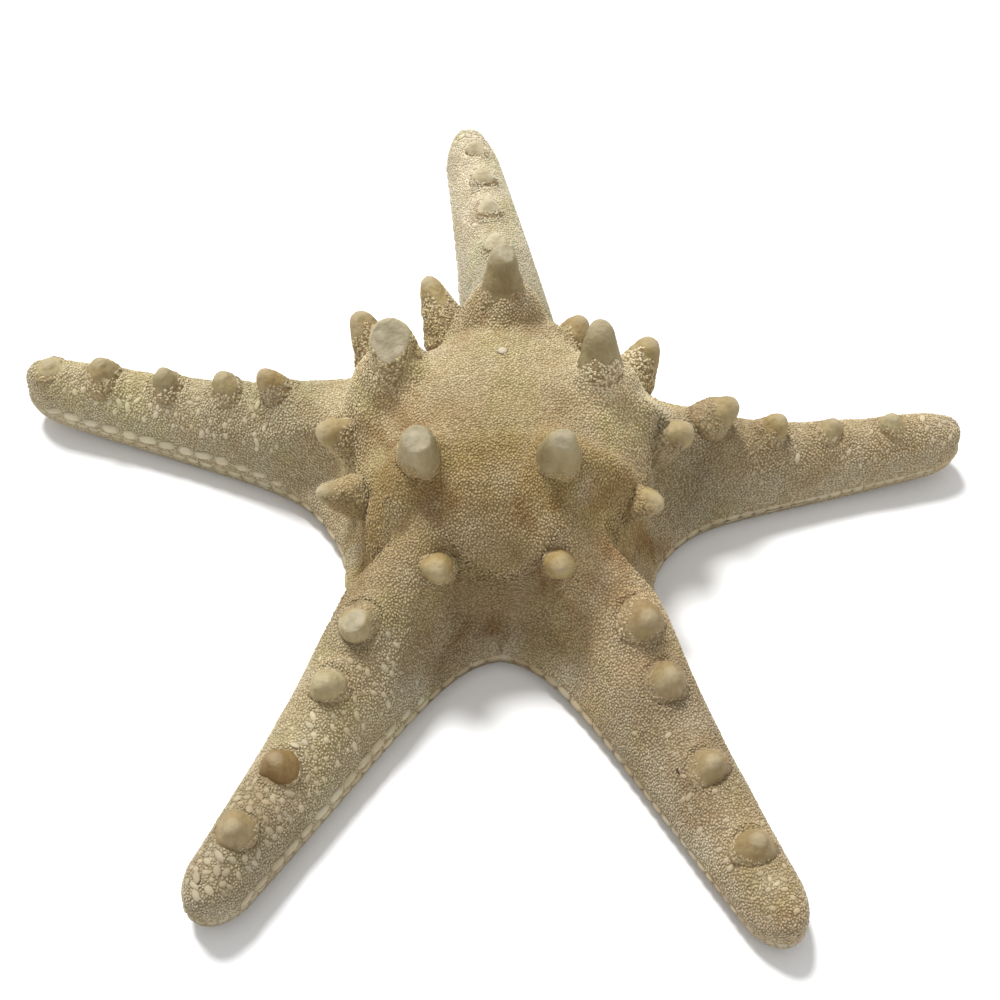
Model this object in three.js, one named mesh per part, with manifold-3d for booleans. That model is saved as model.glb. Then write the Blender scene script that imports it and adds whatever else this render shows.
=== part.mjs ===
// Dried horned sea star: five tapering arms round a high domed disc, knobbed above, grooved below.
// Millimetres, +Z up, resting on its flat sole at z = 0. +X runs along the longest span.
import * as THREE from 'three';
import { ParametricGeometry } from 'three/addons/geometries/ParametricGeometry.js';
import * as BufferGeometryUtils from 'three/addons/utils/BufferGeometryUtils.js';
import Module from 'manifold-3d';

const wasm = await Module();
wasm.setup();

// ---------- driving dimensions ----------
const SECTOR = 72;            // degrees between arm axes
const ARM_LENGTH = 108;       // nominal arm length from the disc centre
const WEB_RADIUS = 34.6;      // disc radius between two arms
const MARGIN_Z = 3.6;         // height of the widest line round the body
const ARM_HALF_WIDTH = 11.2;  // at 44 mm out, tapering towards the tip
const ARM_TAPER = 0.085;      // half-width lost per millimetre of arm
const WEB_SPREAD = 7.5;       // how quickly the flare beside the disc dies away along the arm
const TIP_LENGTH = 9;         // length of the rounded arm end
const DISC_APEX = 46;         // height of the disc centre
const COVE_DEPTH = 0.6;       // how far the wall between two arms is cut back
const SOLE_INSET = 1.8;       // the sole is this much narrower than the margin
const GROOVE_DEPTH = 3.6;     // feeding groove along each arm, below
const GROOVE_HALF_WIDTH = 2.6;
const GROOVE_END = 97;        // distance from the disc centre at which a groove runs out
const MOUTH_RADIUS = 6.5;
const MOUTH_DEPTH = 6;
const DISC_SHIFT = [1.0, -1.5];
const DISC_STOPS = [0, 5, 10, 15, 20, 23.6, 25.2];  // rows along each arm's axis over the disc
const DISC_ROWS = DISC_STOPS.length;
const ARM_ROWS = 14;
const COLUMNS = 14;
const SOLE_COLUMNS = 4;

// Arms, counter-clockwise from the one on the right. angle: degrees; length: mm; width, height:
// factors; bow: sideways curve of the tip, positive counter-clockwise; lift: raised tip;
// lean: how far the ridge stands to one side of the middle of the arm.
const ARMS = [
  { angle: 13.2, length: 96, width: 0.96, bow: -4.5, lift: 3, height: 0.98, lean: 0 },
  { angle: 86.8, length: 108.5, width: 0.99, bow: 14.5, lift: 2.5, height: 0.98, lean: 2.5 },
  { angle: 156.8, length: 107.8, width: 0.95, bow: 10.4, lift: 3.5, height: 1.1, lean: 0 },
  { angle: 237.3, length: 109.3, width: 1.03, bow: 2, lift: 2, height: 1.06, lean: -2.5 },
  { angle: 301.3, length: 112, width: 1.01, bow: -4.4, lift: 1.5, height: 0.98, lean: 3.2 },
];

// Five tall horns on the shoulder of the disc: foot, tip, foot radius, tip radius.
const HORNS = [
  [[19.8, 4.3, 40.0], [20.0, 8.6, 55.5], 6.0, 3.0],
  [[1.0, 22.5, 39.0], [0.8, 28.2, 56.0], 6.0, 3.2],
  [[-19.5, 7.0, 39.0], [-22.0, 10.4, 53.2], 6.6, 4.8],
  [[-14.8, -15.0, 40.0], [-15.4, -18.6, 54.5], 5.6, 3.6],
  [[11.3, -16.2, 41.0], [12.0, -20.4, 56.5], 5.6, 2.9],
];

// Ten smaller horns, a pair beside each arm, in the order of the arms.
const SIDE_HORNS = [
  [[32.0, 0.6, 27.5], [39.0, -0.6, 33.2], 4.8, 2.6],
  [[27.6, 16.6, 28.5], [32.0, 20.8, 36.2], 4.8, 2.4],
  [[14.6, 26.0, 27.5], [17.8, 29.6, 33.0], 4.6, 2.6],
  [[-10.0, 29.0, 27.5], [-15.0, 37.0, 37.2], 5.8, 2.3],
  [[-25.0, 22.0, 29.0], [-29.4, 27.3, 37.0], 4.8, 2.5],
  [[-29.3, 1.3, 27.5], [-36.0, -0.8, 33.6], 4.8, 2.8],
  [[-28.5, -12.2, 26.5], [-35.6, -15.6, 32.2], 4.6, 1.8],
  [[-11.8, -28.8, 27.8], [-11.7, -35.2, 33.4], 4.6, 2.8],
  [[11.6, -28.0, 28.0], [12.1, -34.2, 33.4], 4.5, 2.7],
  [[25.5, -14.3, 27.0], [32.0, -18.6, 32.8], 4.6, 2.3],
];

// Knobs along the ridge of each arm: distance out, radius, height, outward lean in degrees,
// and the height of the mound each one stands on.
const RIDGE_KNOBS = [
  [[46, 4.6, 6.4, 22, 3.2], [61, 3.8, 4.8, 12, 1], [75.5, 3.6, 3.2, 8, 0.8], [90.5, 3.4, 3, 5, 0.6]],
  [[52, 4, 4.5, 10, 1], [65, 3.4, 3.2, 8, 1], [78, 3.4, 3, 8, 1], [88.5, 3.2, 2.8, 8, 0.8],
    [98, 2.7, 2.4, 8, 0.4]],
  [[51, 4, 6.2, 8, 1], [62.3, 4.2, 5, 5, 1], [76, 4, 4.6, 5, 1], [90.5, 4.3, 4.2, 5, 0.8],
    [102.5, 3.8, 1.2, 0, 0]],
  [[48, 4.4, 5, 10, 1], [60.5, 4.2, 4.6, 5, 1], [78, 4, 4.4, 5, 1], [93, 4.2, 4, 5, 0.8]],
  [[46, 4.9, 5.4, 10, 1.2], [57.5, 4.6, 5, 5, 1], [75, 4.2, 4.4, 5, 1], [92, 4.3, 4.2, 5, 0.8]],
];

// Rise of the skin on the way from a tall horn to each side horn, and round the side horns.
const RIDGE_RISES = [3.4, 3.8, 3.0, 6.0, 4.2, 3.6, 3.8, 2.6, 2.6, 4.0];
const SIDE_SKIRT = 3.2;
// Height of the skin's upper edge round each tall horn, and how fast it falls away from it.
const HORN_COLLARS = [44.5, 45.5, 43.5, 43.0, 42.5];
const COLLAR_SLOPE = 0.9;
const COLLAR_CURVE = 0.28;

// Height of the ridge above the table against distance from the disc centre, over the disc.
const CREST = [[0, 46], [8, 45.6], [15, 44.2], [21, 41], [27, 35], [33, 29.5], [39, 25.6], [45, 23]];

// ---------- small helpers ----------
const rad = (d) => (d * Math.PI) / 180;
const clamp = (x) => Math.min(1, Math.max(0, x));

function smooth(x) {
  const t = clamp(x);
  return t * t * (3 - 2 * t);
}

function interpolate(table, x) {
  for (let i = 1; i < table.length; i++) {
    const [x0, y0] = table[i - 1];
    const [x1, y1] = table[i];
    if (x <= x1) return y0 + (y1 - y0) * clamp((x - x0) / (x1 - x0));
  }
  return table[table.length - 1][1];
}

const slopeAt = (table, i) => {
  const [x0, y0] = table[Math.max(i - 1, 0)];
  const [x1, y1] = table[Math.min(i + 1, table.length - 1)];
  return (y1 - y0) / (x1 - x0);
};

// A smooth curve through every row of the table.
function curve(table, x) {
  const i = Math.max(1, table.findIndex((row) => row[0] >= x));
  const [x0, y0] = table[i - 1];
  const [x1, y1] = table[i];
  const h = x1 - x0;
  const t = (x - x0) / h;
  const bend0 = slopeAt(table, i - 1) * h * t * (1 - t) ** 2;
  const bend1 = slopeAt(table, i) * h * t * t * (t - 1);
  return y0 + (y1 - y0) * t * t * (3 - 2 * t) + bend0 + bend1;
}

// ---------- the regular star ----------
const WEB_A = WEB_RADIUS * Math.cos(rad(SECTOR / 2));

const taperedWidth = (a) => ARM_HALF_WIDTH - ARM_TAPER * (a - 44);
const WEB_FLARE = WEB_RADIUS * Math.sin(rad(SECTOR / 2)) - taperedWidth(WEB_A);

function halfWidth(a) {
  const flare = WEB_FLARE * Math.exp(-(a - WEB_A) / WEB_SPREAD);
  const end = clamp((a - (ARM_LENGTH - TIP_LENGTH)) / TIP_LENGTH);
  return (taperedWidth(a) + flare) * Math.sqrt(Math.max(0, 1 - end ** 2.2));
}

// Half outline of one arm, s = 0 at the tip to s = 1 at the web.
function outline(s) {
  const share = 0.3;
  const straight = ARM_LENGTH - TIP_LENGTH;
  if (s < share) {
    const a = straight + TIP_LENGTH * Math.cos(((s / share) * Math.PI) / 2);
    return [a, halfWidth(a)];
  }
  const t = (s - share) / (1 - share);
  const a = straight - (straight - WEB_A) * t ** 0.8;
  return [a, halfWidth(a)];
}

const OUTLINE = Array.from({ length: 241 }, (_, i) => outline(i / 240));

function distanceToOutline(a, b) {
  let best = Infinity;
  for (let i = 1; i < OUTLINE.length; i++) {
    const [x0, y0] = OUTLINE[i - 1];
    const dx = OUTLINE[i][0] - x0;
    const dy = OUTLINE[i][1] - y0;
    const t = clamp(((a - x0) * dx + (b - y0) * dy) / (dx * dx + dy * dy + 1e-12));
    best = Math.min(best, Math.hypot(a - x0 - t * dx, b - y0 - t * dy));
  }
  return best;
}

const AXIS_ROOM = Array.from({ length: 109 }, (_, a) => [a, distanceToOutline(a, 0)]);

function crest(r) {
  return r < 45 ? curve(CREST, r) : 12.2 + 10.8 * Math.exp(-(r - 45) / 22);
}

// Height of the regular star over the point a along the arm, b beside it.
function starHeight(a, b) {
  const r = Math.hypot(a, b);
  const edge = distanceToOutline(a, Math.abs(b));
  const q = clamp(edge / Math.max(interpolate(AXIS_ROOM, r), 1e-6));
  const section = Math.sqrt(Math.max(0, 1 - (1 - q) ** 2));
  const towardsTip = clamp((ARM_LENGTH - a) / 12);
  const end = a > ARM_LENGTH - 12 ? (1 - (1 - towardsTip) ** 2) ** 0.2 : 1;
  const side = Math.abs(Math.atan2(b, a)) / rad(1);
  const cove = 1 - COVE_DEPTH * smooth((r - 29.5) / 1.6) * smooth((side - 9) / 6);
  return MARGIN_Z + (crest(r) - MARGIN_Z) * section * end * cove;
}

// ---------- from the regular star to this one ----------
function turnAt(k, theta) {
  let turn = 0;
  ARMS.forEach((arm, i) => {
    const away = ((((theta + (k - i) * SECTOR + 180) % 360) + 360) % 360) - 180;
    const weight = Math.abs(away) < SECTOR ? Math.cos((Math.PI * away) / 144) ** 2 : 0;
    turn += weight * (arm.angle - (i * SECTOR + 18));
  });
  return turn;
}

function place(k, a, b, z) {
  const arm = ARMS[k];
  const beyond = smooth((a - 29) / 18);
  const wide = b * (1 + (arm.width - 1) * beyond);
  const long = a + (a - 30) * (arm.length / ARM_LENGTH - 1) * clamp((a - 30) / 10);
  const r = Math.hypot(long, wide);
  const theta = Math.atan2(wide, long) / rad(1);
  const angle = rad(theta + k * SECTOR + 18 + turnAt(k, Math.atan2(b, a) / rad(1)));
  const out = clamp((a - 40) / (ARM_LENGTH - 40));
  const up = clamp((z - MARGIN_Z) / 18);
  const lean = arm.lean * up ** 1.5 * smooth((a - 29) / 14) * clamp((97 - a) / 47);
  const side = arm.bow * out ** 1.25 + lean;
  const x = r * Math.cos(angle) - Math.sin(rad(arm.angle)) * side + DISC_SHIFT[0];
  const y = r * Math.sin(angle) + Math.cos(rad(arm.angle)) * side + DISC_SHIFT[1];
  const raised = Math.max(0, z - MARGIN_Z) * (arm.height - 1) * beyond;
  const lift = arm.lift * clamp((a - 60) / (ARM_LENGTH - 60)) ** 2.2;
  return new THREE.Vector3(x, y, z + raised + lift);
}

const KNOB_SPOTS = RIDGE_KNOBS.flatMap((row, k) => row.map(([a, radius, , , mound]) => {
  const spot = place(k, a, 0, starHeight(a, 0));
  return { x: spot.x, y: spot.y, reach: radius * 1.5, mound };
}));

const bell = (gap, reach, power = 2) => Math.exp(-((gap / reach) ** power));

function towards(from, to, share) {
  return from.map((value, i) => value + (to[i] - value) * share);
}

// Distance across the table from p to the line between two points.
function gapToLine(p, from, to) {
  const dx = to[0] - from[0];
  const dy = to[1] - from[1];
  const t = clamp(((p.x - from[0]) * dx + (p.y - from[1]) * dy) / (dx * dx + dy * dy));
  return Math.hypot(p.x - from[0] - t * dx, p.y - from[1] - t * dy);
}

function softerMax(first, second, blend) {
  return Math.max(first, second) + blend * Math.log1p(Math.exp(-Math.abs(first - second) / blend));
}

// Ridges from each tall horn to its two side horns, mounds under the ridge knobs, and a cone of
// skin up each tall horn.
function swelling(p, height) {
  let z = 0;
  SIDE_HORNS.forEach(([foot, tip, radius], i) => {
    z += RIDGE_RISES[i] * bell(gapToLine(p, HORNS[i >> 1][0], foot), 4.2);
    z += SIDE_SKIRT * bell(gapToLine(p, foot, towards(foot, tip, 0.25)), 1.2 * radius, 1.8);
  });
  for (const spot of KNOB_SPOTS) {
    z += spot.mound * bell(Math.hypot(p.x - spot.x, p.y - spot.y), spot.reach);
  }
  z *= clamp((height - 6) / 8);
  HORNS.forEach(([foot, tip, radius, tipRadius], i) => {
    const top = HORN_COLLARS[i];
    const up = (top - foot[2]) / (tip[2] - foot[2]);
    const [x, y] = towards(foot, tip, up);
    const gap = Math.max(Math.hypot(p.x - x, p.y - y) - (radius + (tipRadius - radius) * up), 0);
    const cone = top - COLLAR_SLOPE * gap - COLLAR_CURVE * gap ** 2;
    if (cone > 20) z = softerMax(p.z + z, cone, 0.8) - p.z;
  });
  return z;
}

// ---------- geometry ----------
// Rows run outwards along an arm, closer together towards its end.
function rowAt(u) {
  const row = Math.round(u * (DISC_ROWS + ARM_ROWS));
  if (row <= DISC_ROWS) return row < DISC_ROWS ? DISC_STOPS[row] : WEB_A;
  const t = (row - DISC_ROWS) / ARM_ROWS;
  return WEB_A + (ARM_LENGTH - WEB_A) * (1 - (1 - t) ** 1.5);
}

function reachAt(a) {
  return a < WEB_A ? a * Math.tan(rad(SECTOR / 2)) : halfWidth(a);
}

// Neighbouring skins share their edge points exactly.
function snap(p) {
  p.set(Math.round(p.x * 1000) / 1000, Math.round(p.y * 1000) / 1000, Math.round(p.z * 1000) / 1000);
}

function onMargin(a, v) {
  return (a > WEB_A - 1e-6 && Math.abs(v - 0.5) > 0.4999) || a > ARM_LENGTH - 1e-6;
}

// Upper skin of one fifth of the body; v runs across the arm.
function upperSkin(k) {
  return new ParametricGeometry((u, v, target) => {
    const a = rowAt(u);
    const b = reachAt(a) * Math.sin((v - 0.5) * Math.PI);
    const height = onMargin(a, v) ? MARGIN_Z : starHeight(a, b);
    target.copy(place(k, a, b, height));
    target.z += swelling(target, height);
    snap(target);
  }, DISC_ROWS + ARM_ROWS, COLUMNS);
}

// Sole of the same fifth: flat, with a rounded edge up to the margin.
function soleSkin(k) {
  return new ParametricGeometry((u, v, target) => {
    const a = rowAt(u);
    const across = Math.sign(v - 0.5) * Math.abs(2 * v - 1) ** 0.3;
    const b = reachAt(a) * across;
    const room = onMargin(a, v) ? 0 : clamp(distanceToOutline(a, Math.abs(b)) / SOLE_INSET);
    target.copy(place(k, a, b, MARGIN_Z * (1 - Math.sqrt(1 - (1 - room) ** 2))));
    snap(target);
  }, DISC_ROWS + ARM_ROWS, SOLE_COLUMNS);
}

function welded(geometry) {
  const plain = geometry.index ? geometry.clone() : geometry;
  plain.deleteAttribute('normal');
  plain.deleteAttribute('uv');
  return BufferGeometryUtils.mergeVertices(plain, 1e-4);
}

function turnOver(geometry) {
  const index = geometry.index.array;
  for (let i = 0; i < index.length; i += 3) [index[i], index[i + 1]] = [index[i + 1], index[i]];
}

function toSolid(geometry) {
  const g = welded(geometry);
  const vertProperties = new Float32Array(g.attributes.position.array);
  const index = g.index.array;
  const kept = [];
  for (let i = 0; i < index.length; i += 3) {
    const [p, q, r] = [index[i], index[i + 1], index[i + 2]];
    if (p !== q && q !== r && p !== r) kept.push(p, q, r);
  }
  const triVerts = new Uint32Array(kept);
  const solid = new wasm.Manifold(new wasm.Mesh({ numProp: 3, vertProperties, triVerts }));
  if (solid.volume() > 0) return solid;
  for (let i = 0; i < triVerts.length; i += 3) {
    [triVerts[i], triVerts[i + 1]] = [triVerts[i + 1], triVerts[i]];
  }
  return new wasm.Manifold(new wasm.Mesh({ numProp: 3, vertProperties, triVerts }));
}

function toGeometry(solid) {
  const mesh = solid.getMesh();
  const g = new THREE.BufferGeometry();
  g.setAttribute('position', new THREE.BufferAttribute(new Float32Array(mesh.vertProperties), 3));
  g.setIndex(new THREE.BufferAttribute(new Uint32Array(mesh.triVerts), 1));
  g.computeVertexNormals();
  return g;
}

// A bluntly pointed knob turned round the line from foot to tip, with its foot sunk in the body.
function knob(foot, tip, footRadius, tipRadius, sunk, segments) {
  const axis = tip.clone().sub(foot);
  const height = axis.length();
  const neck = height - tipRadius * 0.8;
  const rings = [[0, -sunk], [footRadius, -sunk * 0.3]];
  for (const q of [0.55, 1]) {
    rings.push([footRadius + (tipRadius - footRadius) * q ** 1.3, neck * q]);
  }
  rings.push([tipRadius * 0.62, neck + tipRadius * 0.62]);
  rings.push([0, height]);
  const points = rings.map(([x, y]) => new THREE.Vector2(x, y));
  const g = new THREE.LatheGeometry(points, segments);
  const up = new THREE.Vector3(0, 1, 0);
  g.applyQuaternion(new THREE.Quaternion().setFromUnitVectors(up, axis.normalize()));
  g.translate(foot.x, foot.y, foot.z);
  return toSolid(g);
}

function ridgeKnob(k, [a, radius, height, outward, mound]) {
  const here = place(k, a, 0, starHeight(a, 0));
  const ahead = place(k, a + 1, 0, starHeight(a + 1, 0));
  const along = ahead.sub(here).normalize();
  const across = new THREE.Vector3(-along.y, along.x, 0).normalize();
  const normal = along.clone().cross(across);
  here.z += mound;
  const axis = normal.multiplyScalar(Math.cos(rad(outward))).addScaledVector(along, Math.sin(rad(outward)));
  const foot = here.clone().addScaledVector(axis, -0.6);
  const tip = here.clone().addScaledVector(axis, height);
  return knob(foot, tip, radius, radius * 0.58, 3, 10);
}

// A V-shaped cutter that follows the bowed arm, from the mouth to near the tip.
function grooveCutter(k) {
  const skin = (u, v, target) => {
    const a = 3 + (GROOVE_END - 3) * v;
    const size = v < 0.001 || v > 0.999 ? 0 : Math.sqrt(1 - v ** 3);
    const corner = Math.round(u * 3) % 3;
    const b = [-1, 1, 0][corner] * (GROOVE_HALF_WIDTH + 0.6) * size;
    target.copy(place(k, a, b, 0));
    target.z += corner === 2 ? GROOVE_DEPTH * size : -0.8 * size;
  };
  return toSolid(new ParametricGeometry(skin, 3, 16));
}

function buildStar() {
  const skins = [0, 1, 2, 3, 4].flatMap((k) => [upperSkin(k), soleSkin(k)]);
  skins.forEach((skin, i) => i % 2 && turnOver(skin));
  let star = toSolid(BufferGeometryUtils.mergeGeometries(skins));
  const vec = ([x, y, z]) => new THREE.Vector3(x, y, z);
  for (const [foot, tip, r, rt] of HORNS) star = star.add(knob(vec(foot), vec(tip), r, rt, 4, 14));
  for (const [foot, tip, r, rt] of SIDE_HORNS) star = star.add(knob(vec(foot), vec(tip), r, rt, 3.5, 12));
  RIDGE_KNOBS.forEach((row, k) => {
    for (const entry of row) star = star.add(ridgeKnob(k, entry));
  });
  for (let k = 0; k < 5; k++) star = star.subtract(grooveCutter(k));
  const pit = [[0, -1], [MOUTH_RADIUS, -1], [MOUTH_RADIUS, 0.4],
    [MOUTH_RADIUS * 0.55, MOUTH_DEPTH * 0.8], [0, MOUTH_DEPTH]];
  const mouth = new THREE.LatheGeometry(pit.map(([x, y]) => new THREE.Vector2(x, y)), 20);
  mouth.rotateX(Math.PI / 2);
  mouth.translate(DISC_SHIFT[0], DISC_SHIFT[1], 0);
  return star.subtract(toSolid(mouth));
}

const geometry = toGeometry(buildStar());
geometry.computeBoundingBox();
const middle = geometry.boundingBox.getCenter(new THREE.Vector3());
geometry.translate(-middle.x, -middle.y, -geometry.boundingBox.min.z);

const bleached = new THREE.MeshStandardMaterial({ name: 'bleached_skin', color: '#b9aa88', roughness: 0.85 });
const starfish = new THREE.Mesh(geometry, bleached);
starfish.name = 'starfish';

const dried_starfish = new THREE.Group();
dried_starfish.name = 'dried_starfish';
dried_starfish.add(starfish);

export default dried_starfish;
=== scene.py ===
"""Dried horned sea star on a pale table.

The body is a regular five-rayed star bent into this one. Each fifth is a grid of points a (along
the arm) and b (across it). The height over (a, b) is a crest that falls with distance from the
centre, times a half-round section that drops to the margin. place() then turns, stretches and
bows each arm. Horns and knobs are turned profiles set into mounds of the same skin. Plates,
pebbles, furrow spines and skin granules are small domes laid on the surface by the same functions.
Lengths in the tables are millimetres; every mesh is scaled to metres at the end.
"""
import math

import bpy
import numpy as np
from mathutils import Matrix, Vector
from mathutils.kdtree import KDTree


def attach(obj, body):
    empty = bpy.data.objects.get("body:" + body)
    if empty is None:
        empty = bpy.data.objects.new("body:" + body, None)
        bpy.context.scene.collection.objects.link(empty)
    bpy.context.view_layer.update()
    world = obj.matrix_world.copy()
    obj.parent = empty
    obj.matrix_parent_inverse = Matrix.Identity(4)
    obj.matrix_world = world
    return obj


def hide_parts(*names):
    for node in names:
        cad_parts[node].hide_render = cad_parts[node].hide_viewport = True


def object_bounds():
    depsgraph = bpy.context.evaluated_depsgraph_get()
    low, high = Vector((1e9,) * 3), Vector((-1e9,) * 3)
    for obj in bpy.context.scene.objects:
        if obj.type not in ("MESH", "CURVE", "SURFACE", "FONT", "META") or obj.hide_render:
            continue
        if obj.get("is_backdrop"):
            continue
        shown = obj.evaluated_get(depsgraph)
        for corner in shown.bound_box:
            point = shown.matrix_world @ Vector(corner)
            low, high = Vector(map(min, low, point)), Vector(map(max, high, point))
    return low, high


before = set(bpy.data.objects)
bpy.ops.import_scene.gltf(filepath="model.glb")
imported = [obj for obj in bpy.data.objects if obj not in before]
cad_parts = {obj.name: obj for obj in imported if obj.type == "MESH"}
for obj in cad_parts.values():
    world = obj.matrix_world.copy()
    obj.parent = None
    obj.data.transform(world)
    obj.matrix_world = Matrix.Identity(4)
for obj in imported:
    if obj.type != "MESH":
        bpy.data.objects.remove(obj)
CAD_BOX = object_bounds()
MM = 0.001

# ------ dimensions, as in the model
SECTOR = 72.0
FIRST_ARM = 18.0  # angle of the first arm of the regular star
ARM_LENGTH = 108.0
WEB_RADIUS = 34.6
MARGIN_Z = 3.6
ARM_HALF_WIDTH = 11.2
MID_ARM = 44.0  # how far out the half width is measured
ARM_TAPER = 0.085
WEB_SPREAD = 7.5
TIP_LENGTH = 9.0
TIP_ROUNDING = 12.0
ARM_CREST = 12.2
ARM_CREST_FALL = 22.0
COVE_DEPTH = 0.6
COVE_RADIUS = 29.5
COVE_ANGLE = 9.0
SOLE_INSET = 1.8
GROOVE_DEPTH = 3.4
GROOVE_HALF_WIDTH = 2.5
GROOVE_END = 97.0
GROOVE_FADE = 40.0
MOUTH_RADIUS = 6.3
MOUTH_DEPTH = 5.8
GRAIN_ROOM = 0.35  # the sole stands this far off the table, on its grains
# Where each arm's own width, length, bow and curl begin, and the height its lean grows over.
DISC_REACH = 29.0
STRETCH_START = 30.0
BOW_START = 40.0
CURL_START = 60.0
LEAN_HEIGHT = 18.0
# From the tables' own origin to the frame's, which is the middle of the bounding box.
TO_FRAME = np.array([1.748, -4.274, 0.0])
DISC_CENTRE = TO_FRAME[:2] + (1.0, -1.5)
FAR, LEFT, NEAR_LEFT, NEAR_RIGHT = range(1, 5)  # arm 0 is the one on the right

# angle, length, width, bow, lift, height, lean: counter-clockwise from the arm on the right
ARMS = np.array([
    (13.2, 96.0, 0.96, -4.5, 3.0, 0.98, 0.0),
    (86.8, 108.5, 0.99, 14.5, 2.5, 0.98, 2.5),
    (156.8, 107.8, 0.95, 10.4, 3.5, 1.10, 0.0),
    (237.3, 109.3, 1.03, 2.0, 2.0, 1.06, -2.5),
    (301.3, 112.0, 1.01, -4.4, 1.5, 0.98, 3.2),
])


def in_frame(rows):
    """Each horn's foot and tip in the frame, then its radius at each."""
    return [(np.array(row[:3]) + TO_FRAME, np.array(row[3:6]) + TO_FRAME, *row[6:]) for row in rows]


# Foot x, y, z, tip x, y, z, foot radius, tip radius.
HORNS = in_frame([
    (19.8, 4.3, 40.0, 20.0, 8.6, 55.5, 6.4, 2.5),
    (1.0, 22.5, 39.0, 0.8, 28.2, 56.0, 6.2, 2.5),
    (-19.5, 7.0, 39.0, -22.0, 10.4, 53.2, 6.3, 4.2),
    (-14.8, -15.0, 40.0, -15.4, -18.6, 54.5, 5.3, 3.1),
    (11.3, -16.2, 41.0, 12.0, -20.4, 56.5, 5.3, 2.4),
])
SIDE_HORNS = in_frame([
    (32.0, 0.6, 27.5, 39.0, -0.6, 33.2, 4.8, 2.4),
    (27.6, 16.6, 28.5, 32.0, 20.8, 36.2, 4.8, 2.2),
    (14.6, 26.0, 27.5, 17.8, 29.6, 33.0, 4.6, 2.4),
    (-10.0, 29.0, 27.5, -15.0, 37.0, 37.2, 6.0, 2.0),
    (-25.0, 22.0, 29.0, -29.4, 27.3, 37.0, 4.8, 2.3),
    (-29.3, 1.3, 27.5, -36.0, -0.8, 33.6, 4.8, 2.6),
    (-28.5, -12.2, 26.5, -35.6, -15.6, 32.2, 4.6, 1.5),
    (-11.8, -28.8, 27.8, -11.7, -35.2, 33.4, 4.6, 2.6),
    (11.6, -28.0, 28.0, 12.1, -34.2, 33.4, 4.5, 2.5),
    (25.5, -14.3, 27.0, 32.0, -18.6, 32.8, 4.6, 2.0),
])
# Rise of the skin from the tall horn to each side horn.
RIDGE_RISES = [3.4, 3.8, 3.0, 6.0, 4.2, 3.6, 3.8, 2.6, 2.6, 4.0]
# Distance out, radius, height, outward lean in degrees, height of the mound below.
RIDGE_KNOBS = [
    [(46, 4.6, 6.4, 22, 3.2), (61, 3.8, 4.8, 12, 1), (75.5, 3.6, 3.2, 8, 0.8), (90.5, 3.4, 3, 5, 0.6)],
    [(52, 4, 4.5, 10, 1), (65, 3.4, 3.2, 8, 1), (78, 3.4, 3, 8, 1), (88.5, 3.2, 2.8, 8, 0.8),
     (98, 2.7, 2.4, 8, 0.4)],
    [(51, 4, 6.2, 8, 1), (62.3, 4.2, 5, 5, 1), (76, 4, 4.6, 5, 1), (90.5, 4.3, 4.2, 5, 0.8),
     (102.5, 3.8, 1.2, 0, 0)],
    [(48, 4.4, 5, 10, 1), (60.5, 4.2, 4.6, 5, 1), (78, 4, 4.4, 5, 1), (93, 4.2, 4, 5, 0.8)],
    [(46, 4.9, 5.4, 10, 1.2), (57.5, 4.6, 5, 5, 1), (75, 4.2, 4.4, 5, 1), (92, 4.3, 4.2, 5, 0.8)],
]
RIDGE_REACH = 4.2
SIDE_SKIRT = 3.2
KNOB_COLLAR = 0.45
# Height of the skin's upper edge round each tall horn, and how fast it falls away from it.
HORN_COLLARS = [44.5, 45.5, 43.5, 43.0, 42.5]
COLLAR_SLOPE = 0.9
COLLAR_CURVE = 0.28
# Distance from the centre and height of the disc's crest.
CREST = np.array([(0, 46), (8, 45.6), (15, 44.2), (21, 41), (27, 35), (33, 29.5), (39, 25.6), (45, 23.0)])


# ------ camera
CAMERA_DISTANCE = 0.44
CAMERA_ELEVATION = math.radians(54.5)
SENSOR_WIDTH = 36
LENS_RATIO = 2.060


def make_camera():
    """Pinhole camera that looks down at the tables' origin, shifted to centre the star."""
    back = Vector((0, -math.cos(CAMERA_ELEVATION), math.sin(CAMERA_ELEVATION)))
    cam = bpy.data.objects.new("camera", bpy.data.cameras.new("camera"))
    cam.data.sensor_width = SENSOR_WIDTH
    cam.data.lens = SENSOR_WIDTH * LENS_RATIO
    cam.data.shift_x = 0.002
    cam.data.shift_y = 0.023
    cam.data.clip_start = 0.01
    cam.location = Vector(TO_FRAME) * MM + back * CAMERA_DISTANCE
    cam.rotation_euler = back.to_track_quat("Z", "Y").to_euler()
    bpy.context.collection.objects.link(cam)
    bpy.context.scene.camera = cam


make_camera()


# ------ the regular star
def smooth(x):
    """Ramp from 0 at 0 to 1 at 1, level at both ends."""
    t = np.clip(x, 0, 1)
    return t * t * (3 - 2 * t)


def between(x, low, high, fade_in, fade_out):
    """1 between low and high, fading to 0 outside."""
    return smooth((x - low) / fade_in) * smooth((high - x) / fade_out)


def unit(v):
    """Vectors of length 1."""
    return v / np.linalg.norm(v, axis=-1, keepdims=True)


HALF = math.radians(SECTOR / 2)
WEB_A = WEB_RADIUS * math.cos(HALF)
WEB_FLARE = WEB_RADIUS * math.sin(HALF) - (ARM_HALF_WIDTH - ARM_TAPER * (WEB_A - MID_ARM))


def half_width(a):
    """Straight taper, plus a flare that dies away from the web, closed by a rounded end."""
    flare = WEB_FLARE * np.exp(-(a - WEB_A) / WEB_SPREAD)
    end = np.clip((a - (ARM_LENGTH - TIP_LENGTH)) / TIP_LENGTH, 0, 1)
    return (ARM_HALF_WIDTH - ARM_TAPER * (a - MID_ARM) + flare) * np.sqrt(np.clip(1 - end ** 2.2, 0, 1))


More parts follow.
